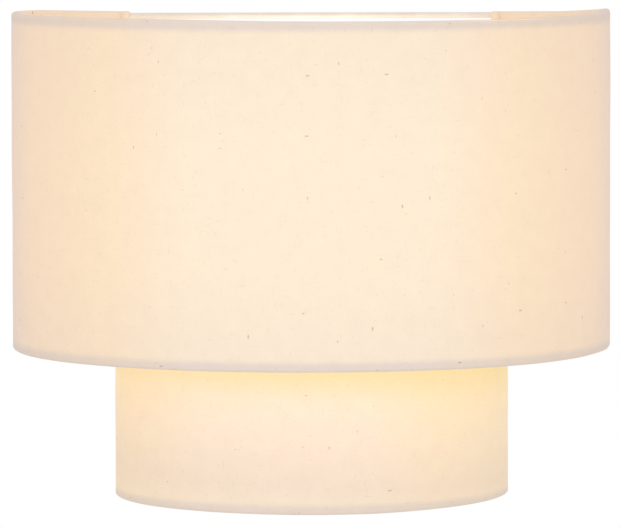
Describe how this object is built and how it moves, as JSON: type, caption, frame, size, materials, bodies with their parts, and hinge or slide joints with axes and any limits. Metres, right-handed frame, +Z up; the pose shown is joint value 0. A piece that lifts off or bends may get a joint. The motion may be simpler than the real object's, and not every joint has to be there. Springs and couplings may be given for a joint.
{
  "type": "wall light",
  "caption": "Wall light with a two-tier half-round fabric shade on a wire frame, a white back plate, a bent arm and an opal bulb.",
  "frame": {"origin": "middle of the two wall fixing slots, on the wall plane", "axes": "+X to the viewer's right, +Y into the wall, +Z up; the light stands out of the wall towards -Y"},
  "size_m": [0.2994, 0.15, 0.2425],
  "materials": {
    "cotton": "natural unbleached cotton, plain weave, matt",
    "lining": "translucent styrene lining, matt",
    "white_wire": "powder-coated steel wire, satin",
    "white_plate": "powder-coated pressed steel, satin",
    "zinc_steel": "zinc-plated steel, bright",
    "nickel": "nickel-plated brass, satin",
    "brass": "plain brass",
    "white_holder": "moulded thermoplastic, white",
    "white_ceramic": "pressed steatite",
    "block_plastic": "moulded nylon, natural",
    "live_sleeve": "PVC insulation, brown",
    "neutral_sleeve": "PVC insulation, blue",
    "earth_sleeve": "PVC insulation, green and yellow",
    "lamp_cap": "nickel-plated cap, bright",
    "lamp_glass": "black cap glass",
    "lamp_housing": "moulded white housing",
    "opal": "opal diffuser, lit",
    "circuit_board": "printed circuit board with parts"
  },
  "bodies": {
    "wall_bracket": {"mounting_strap": "zinc_steel", "back_plate": "white_plate", "plate_screws": "zinc_steel", "shade_studs": "zinc_steel", "earth_screw": "brass", "earth_washer": "brass", "ring_terminal": "zinc_steel", "terminal_block": "block_plastic", "terminal_barrels": "brass", "terminal_screws": "zinc_steel", "block_screw": "zinc_steel", "arm_tube": "white_plate", "arm_flange": "white_plate", "arm_washer": "zinc_steel", "arm_locknut": "zinc_steel", "holder_cap": "white_holder", "holder_sleeve": "white_holder", "holder_insert": "white_ceramic", "thread_shell": "brass", "centre_contact": "brass", "contact_screws": "zinc_steel", "grub_screw": "zinc_steel", "live_wire": "live_sleeve", "neutral_wire": "neutral_sleeve", "earth_wire": "earth_sleeve"},
    "shade": {"upper_cover": "cotton", "lower_cover": "cotton", "upper_liner": "lining", "lower_liner": "lining", "upper_top_ring": "white_wire", "upper_bottom_ring": "white_wire", "lower_top_ring": "white_wire", "lower_bottom_ring": "white_wire", "left_back_strut": "white_wire", "right_back_strut": "white_wire", "left_spoke": "white_wire", "front_spoke": "white_wire", "right_spoke": "white_wire", "left_hanging_tab": "white_wire", "right_hanging_tab": "white_wire"},
    "bulb": {"bulb_tip": "lamp_cap", "bulb_insulator": "lamp_glass", "bulb_cap_shell": "lamp_cap", "bulb_housing": "lamp_housing", "bulb_driver_board": "circuit_board", "bulb_board": "circuit_board", "bulb_globe": "opal"},
    "left_nut": {"left_thumb_nut": "nickel"},
    "right_nut": {"right_thumb_nut": "nickel"}
  },
  "joints": [
    {"name": "shade_slide", "type": "slide", "parent": "wall_bracket", "child": "shade", "axis": [0, -1, 0], "range_m": [0, 0.16]},
    {"name": "bulb_slide", "type": "slide", "parent": "wall_bracket", "child": "bulb", "axis": [0, 0, 1], "range_m": [0, 0.03]},
    {"name": "left_nut_turn", "type": "hinge", "parent": "shade", "child": "left_nut", "pos_m": [-0.076, -0.024, 0], "axis": [0, -1, 0], "continuous": true},
    {"name": "right_nut_turn", "type": "hinge", "parent": "shade", "child": "right_nut", "pos_m": [0.076, -0.024, 0], "axis": [0, -1, 0], "continuous": true}
  ]
}
